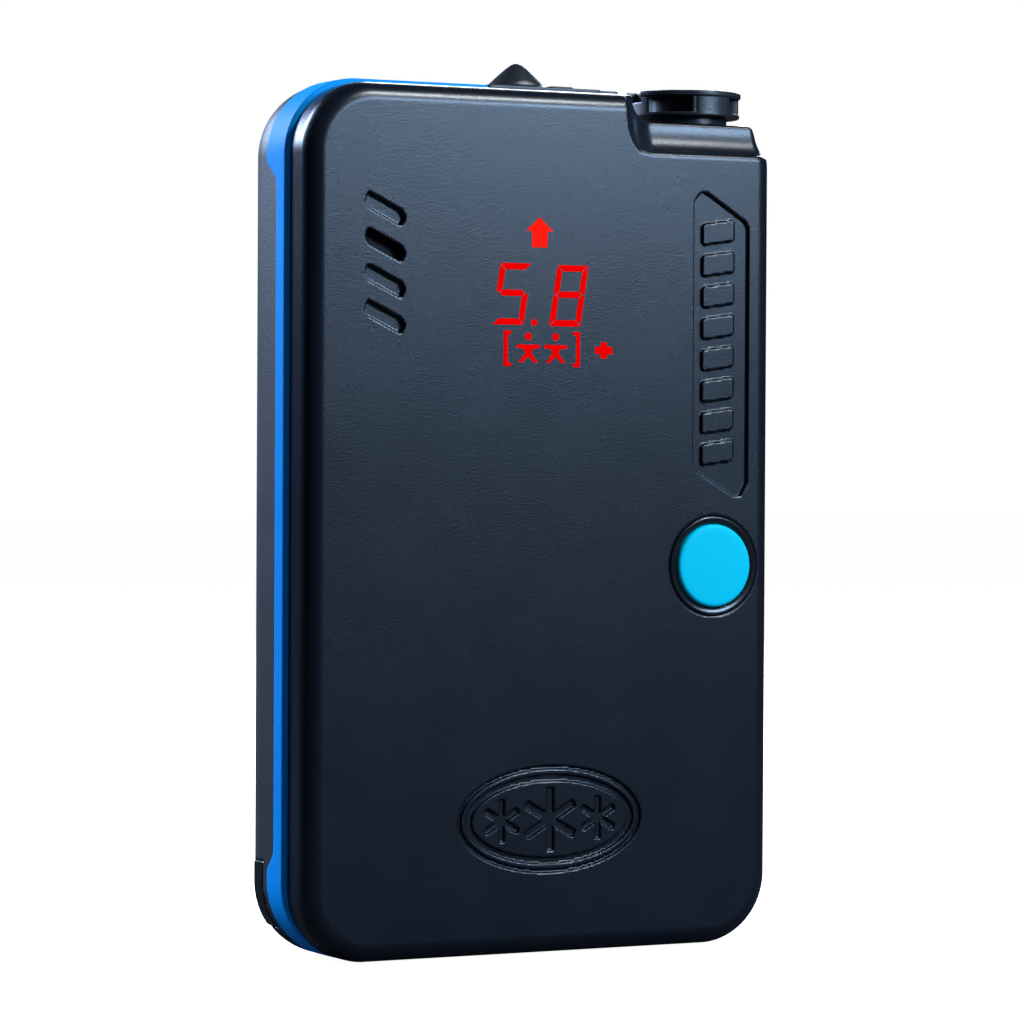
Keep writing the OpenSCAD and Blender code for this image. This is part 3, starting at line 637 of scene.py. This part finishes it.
def finish_material(name, color, rough, grain=3200, depth=0.25, mottle=0.12, scuff=0.06,
                    emission=None, strength=0.0, **shader):
    """Moulded or metal finish: colour mottle, fine grain relief, uneven gloss and an optional glow,
    which is the display's own light on the lit parts and painted light on the band.
    """
    mat = bpy.data.materials.new(name)
    mat.use_nodes = True
    tree = mat.node_tree
    bsdf = tree.nodes["Principled BSDF"]
    for k, v in shader.items():
        bsdf.inputs[k.replace("_", " ")].default_value = v
    place = tree.nodes.new("ShaderNodeTexCoord")
    cloud = node(tree, "ShaderNodeTexNoise", Scale=70.0, Detail=4.0, Roughness=0.6)
    fine = node(tree, "ShaderNodeTexNoise", Scale=grain, Detail=3.0, Roughness=0.65)
    tree.links.new(place.outputs["Object"], cloud.inputs["Vector"])
    tree.links.new(place.outputs["Object"], fine.inputs["Vector"])
    ramp = tree.nodes.new("ShaderNodeValToRGB")
    low, high = ramp.color_ramp.elements
    low.position, high.position = 0.3, 0.7
    low.color = [c * (1 - mottle) for c in color] + [1]
    high.color = [min(1, c * (1 + mottle)) for c in color] + [1]
    blend = node(tree, "ShaderNodeMath")
    blend.operation = "MULTIPLY_ADD"
    blend.inputs[1].default_value = 0.5
    half = node(tree, "ShaderNodeMath")
    half.operation = "MULTIPLY"
    half.inputs[1].default_value = 0.5
    tree.links.new(cloud.outputs["Fac"], blend.inputs[0])
    tree.links.new(fine.outputs["Fac"], half.inputs[0])
    tree.links.new(half.outputs[0], blend.inputs[2])
    tree.links.new(blend.outputs[0], ramp.inputs["Fac"])
    tree.links.new(ramp.outputs["Color"], bsdf.inputs["Base Color"])
    gloss = tree.nodes.new("ShaderNodeMapRange")
    gloss.inputs["From Min"].default_value = 0.3
    gloss.inputs["From Max"].default_value = 0.7
    gloss.inputs["To Min"].default_value = max(0.02, rough - scuff)
    gloss.inputs["To Max"].default_value = min(1, rough + scuff)
    tree.links.new(cloud.outputs["Fac"], gloss.inputs["Value"])
    tree.links.new(gloss.outputs["Result"], bsdf.inputs["Roughness"])
    bump = node(tree, "ShaderNodeBump", Strength=depth, Distance=0.00008)
    tree.links.new(fine.outputs["Fac"], bump.inputs["Height"])
    tree.links.new(bump.outputs["Normal"], bsdf.inputs["Normal"])
    # Glow: the lit display's own light, and painted light where it is set on the band.
    if emission:
        bsdf.inputs["Emission Color"].default_value = (*emission, 1)
        bsdf.inputs["Emission Strength"].default_value = strength
    return mat


FINISHES = {
    "cover_plastic": dict(color=(0.008, 0.011, 0.018), rough=0.27, grain=4200, depth=0.28,
                          mottle=0.08, scuff=0.015),
    "case_plastic": dict(color=(0.028, 0.032, 0.037), rough=0.5, grain=3000, depth=0.5,
                         scuff=0.03),
    # band_elastomer carries a faint blue glow that is painted light: it stands in for light on the
    # band that the lamps don't give.
    "band_elastomer": dict(color=(0.0, 0.36, 1.0), rough=0.5, grain=2600, depth=0.3, scuff=0.03,
                           emission=(0.0, 0.25, 1.0), strength=0.06, Specular_IOR_Level=0.08),
    "control_plastic": dict(color=(0.022, 0.026, 0.032), rough=0.34, grain=3600, depth=0.35),
    "bezel_plastic": dict(color=(0.01, 0.012, 0.015), rough=0.2, grain=3000, depth=0.1),
    "button_plastic": dict(color=(0.0, 0.76, 1.0), rough=0.45, grain=3000, depth=0.3, mottle=0.02,
                           scuff=0.02, Specular_IOR_Level=0.08),
    "seal_rubber": dict(color=(0.012, 0.012, 0.012), rough=0.7, grain=1800, depth=0.4),
    "lit_red": dict(color=(0.05, 0.0, 0.0), rough=0.6, grain=2500, depth=0.1, emission=(1, 0, 0),
                    strength=0.82, Specular_IOR_Level=0.0),
    "module_black": dict(color=(0.015, 0.015, 0.017), rough=0.6),
    "acetal": dict(color=(0.6, 0.6, 0.56), rough=0.5),
    "board_green": dict(color=(0.02, 0.14, 0.05), rough=0.4, grain=1500),
    "ferrite_black": dict(color=(0.03, 0.03, 0.032), rough=0.55, grain=1500),
    "coil_copper": dict(color=(0.6, 0.25, 0.1), rough=0.35, grain=2500, Metallic=1.0),
    "bright_steel": dict(color=(0.55, 0.56, 0.58), rough=0.28, grain=2500, Metallic=1.0),
    "turned_brass": dict(color=(0.7, 0.5, 0.2), rough=0.3, grain=2500, Metallic=1.0),
    "capacitor_tan": dict(color=(0.5, 0.3, 0.12), rough=0.5),
    "label_film": dict(color=(0.5, 0.51, 0.53), rough=0.35, grain=1200, depth=0.1),
    "cell_wrap": dict(color=(0.12, 0.14, 0.18), rough=0.3, grain=800, depth=0.1),
}
MATERIALS = {name: finish_material(name, **finish) for name, finish in FINISHES.items()}
ARROW_RED = finish_material("arrow_red", (0.05, 0.001, 0.0), 0.6, 2500, 0.1,
                            emission=(1, 0.012, 0.006), strength=0.98, Specular_IOR_Level=0.0)


def dress(obj, slot, body, *nodes, material=None):
    """Gives a piece its finish, its body and the CAD nodes that it stands for."""
    obj.data.materials.clear()
    obj.data.materials.append(material or MATERIALS[slot])
    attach(obj, body)
    if nodes:
        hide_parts(*nodes)
    return obj


for part in frame["record"]["subparts"]:
    mesh = frame["nodes"][part["node"]].data
    mesh.materials.clear()
    mesh.materials.append(MATERIALS[part["material_slot"]])

# ---------------------------------------------------------------- pieces

def to_depth(node):
    """Box of a CAD node as (x, depth, z)."""
    return [end - [0, FACE, 0] for end in span(node)]


# piece, field, low and high end of its box, grid step, share of the faces kept, finish, body, node
SHAPES = (
    ("cover_shell", cover_field, (-COVER_X, 0, 0), (COVER_X, SEAM, COVER_Z), 0.27, 0.2,
     "cover_plastic", "case", "front_cover"),
    ("rear_shell", rear_field, (REAR_LO[0], SEAM, 0), (REAR_HI[0], CASE_BACK, REAR_HI[2]),
     0.5, 0.25, "case_plastic", "case", "rear_case"),
    ("bumper_band", band_field, (-BAND_X, BAND_FRONT, 0), (BAND_X, PAD_BACK, BAND_Z), 0.36, 0.25,
     "band_elastomer", "case", "bumper"),
    ("dial_knob", dial_field, *to_depth("power_dial"), 0.17, 0.25,
     "control_plastic", "power_dial", "power_dial"),
    ("slider_thumb", slider_field, *to_depth("lock_slider"), 0.17, 0.25,
     "control_plastic", "lock_slider", "lock_slider"),
    ("door_panel", door_field, *to_depth("battery_door"), 0.4, 0.25,
     "case_plastic", "battery_door", "battery_door"),
    ("corner_pads", foot_field, *to_depth("corner_feet"), 0.3, 0.25,
     "bezel_plastic", "case", "corner_feet"),
)
for *form, slot, body, node_name in SHAPES:
    dress(shape(*form), slot, body, node_name)

bezel = [(5.84, 2.7), (5.84, 0.55)] + curve_points(6.14, 0.3, 0.3, 180, 250)
bezel += curve_points(6.6, 0.15, 0.3, -90, 0) + [(6.9, 2.2), (7.8, 2.2), (7.8, 2.7)]
dress(turned("bezel_ring", bezel, *BUTTON), "bezel_plastic", "case", "button_bezel")
cap = [(0, -0.6), (2.5, -0.58), (4.6, -0.52)] + curve_points(5.19, 0.03, 0.55, -85, 0, 8)
cap += [(5.74, 2.9), (6.6, 2.9), (6.6, 3.6), (1.2, 3.6), (1.2, 5), (0, 5)]
dress(turned("button_cap", cap, *BUTTON), "button_plastic", "search_button", "search_button")

digits, arrow, icons = display_outlines()
dress(lit_piece("lit_digits", digits), "lit_red", "case", "display_digits")
dress(lit_piece("lit_arrow", arrow), "lit_red", "case", "display_arrow", material=ARROW_RED)
dress(lit_piece("lit_icons", icons), "lit_red", "case", "display_icons")

# ---------------------------------------------------------------- floor, lights and camera


def stage_material(name, color, camera_glow, bounce):
    """Pale paper that lights the object less than it shows."""
    mat = bpy.data.materials.new(name)
    mat.use_nodes = True
    tree = mat.node_tree
    out = tree.nodes["Material Output"]
    tree.nodes.remove(tree.nodes["Principled BSDF"])
    path = tree.nodes.new("ShaderNodeLightPath")
    shown = node(tree, "ShaderNodeBsdfDiffuse", Color=(*color, 1))
    glow = node(tree, "ShaderNodeEmission", Color=(*color, 1), Strength=camera_glow)
    total = tree.nodes.new("ShaderNodeAddShader")
    dim = node(tree, "ShaderNodeBsdfDiffuse", Color=(bounce, bounce, bounce * 1.05, 1))
    mix = tree.nodes.new("ShaderNodeMixShader")
    tree.links.new(shown.outputs[0], total.inputs[0])
    tree.links.new(glow.outputs[0], total.inputs[1])
    tree.links.new(path.outputs["Is Camera Ray"], mix.inputs["Fac"])
    tree.links.new(dim.outputs[0], mix.inputs[1])
    tree.links.new(total.outputs[0], mix.inputs[2])
    tree.links.new(mix.outputs[0], out.inputs["Surface"])
    return mat


floor_mesh = bpy.data.meshes.new("floor")
bm = bmesh.new()
bmesh.ops.create_grid(bm, x_segments=1, y_segments=1, size=3.0)
bm.to_mesh(floor_mesh)
bm.free()
floor = bpy.data.objects.new("floor", floor_mesh)
bpy.context.scene.collection.objects.link(floor)
floor.location = (0, 0, cad_low.z - 0.0002)
floor_mesh.materials.append(stage_material("floor_paper", (1.0, 1.0, 1.0), 0.97, 0.05))

world = bpy.data.worlds.new("studio")
bpy.context.scene.world = world
world.use_nodes = True
tree = world.node_tree
back = tree.nodes["Background"]
back.inputs["Color"].default_value = (0.55, 0.62, 0.75, 1)
back.inputs["Strength"].default_value = 0.02
white = node(tree, "ShaderNodeBackground", Color=(1, 1, 1, 1), Strength=1.0)
path = tree.nodes.new("ShaderNodeLightPath")
mix = tree.nodes.new("ShaderNodeMixShader")
tree.links.new(path.outputs["Is Camera Ray"], mix.inputs["Fac"])
tree.links.new(back.outputs[0], mix.inputs[1])
tree.links.new(white.outputs[0], mix.inputs[2])
tree.links.new(mix.outputs[0], tree.nodes["World Output"].inputs["Surface"])


def softbox(name, at, target, size, power, color):
    """Rectangular area lamp at one point, aimed at another."""
    data = bpy.data.lights.new(name, "AREA")
    data.shape = "RECTANGLE"
    data.size, data.size_y = size
    data.energy = power
    data.color = color
    lamp = bpy.data.objects.new(name, data)
    bpy.context.scene.collection.objects.link(lamp)
    lamp.location = at
    lamp.rotation_euler = (Vector(target) - Vector(at)).to_track_quat("-Z", "Y").to_euler()


softbox("front_box", (0.35, -0.6, 0.3), (0, 0, 0.11), (0.24, 0.18), 3.7, (0.48, 0.7, 1))
softbox("left_box", (-0.25, 0.36, 0.3), (0, 0, 0.07), (0.15, 0.2), 4.4, (0.52, 0.68, 1))
softbox("top_box", (0.2, -0.3, 0.45), (0, 0, 0.118), (0.07, 0.05), 1.5, (0.85, 0.93, 1))
softbox("back_box", (0.45, 0.6, 0.4), (0, 0, 0.06), (0.3, 0.3), 3.5, (0.85, 0.92, 1))

# Camera solved from the outline of the case: its place, its turn to the right and its small tilt.
camera_data = bpy.data.cameras.new("camera")
camera_data.lens = 147.84
camera_data.sensor_width = 36
camera_data.clip_start, camera_data.clip_end = 0.01, 20
camera = bpy.data.objects.new("camera", camera_data)
bpy.context.scene.collection.objects.link(camera)
yaw, pitch, roll = math.radians(27.748), math.radians(-0.904), math.radians(0.299)
forward = Vector((math.sin(yaw) * math.cos(pitch), math.cos(yaw) * math.cos(pitch),
                  math.sin(pitch)))
right = Vector((math.cos(yaw), -math.sin(yaw), 0))
up = right.cross(forward)
right_r = right * math.cos(roll) + up * math.sin(roll)
up_r = up * math.cos(roll) - right * math.sin(roll)
place = Vector((-269.41, FACE - 502.18, 68.98)) * MM
camera.matrix_world = Matrix(((right_r.x, up_r.x, -forward.x, place.x),
                              (right_r.y, up_r.y, -forward.y, place.y),
                              (right_r.z, up_r.z, -forward.z, place.z),
                              (0, 0, 0, 1)))
bpy.context.scene.camera = camera
bpy.context.scene.view_settings.view_transform = "Standard"
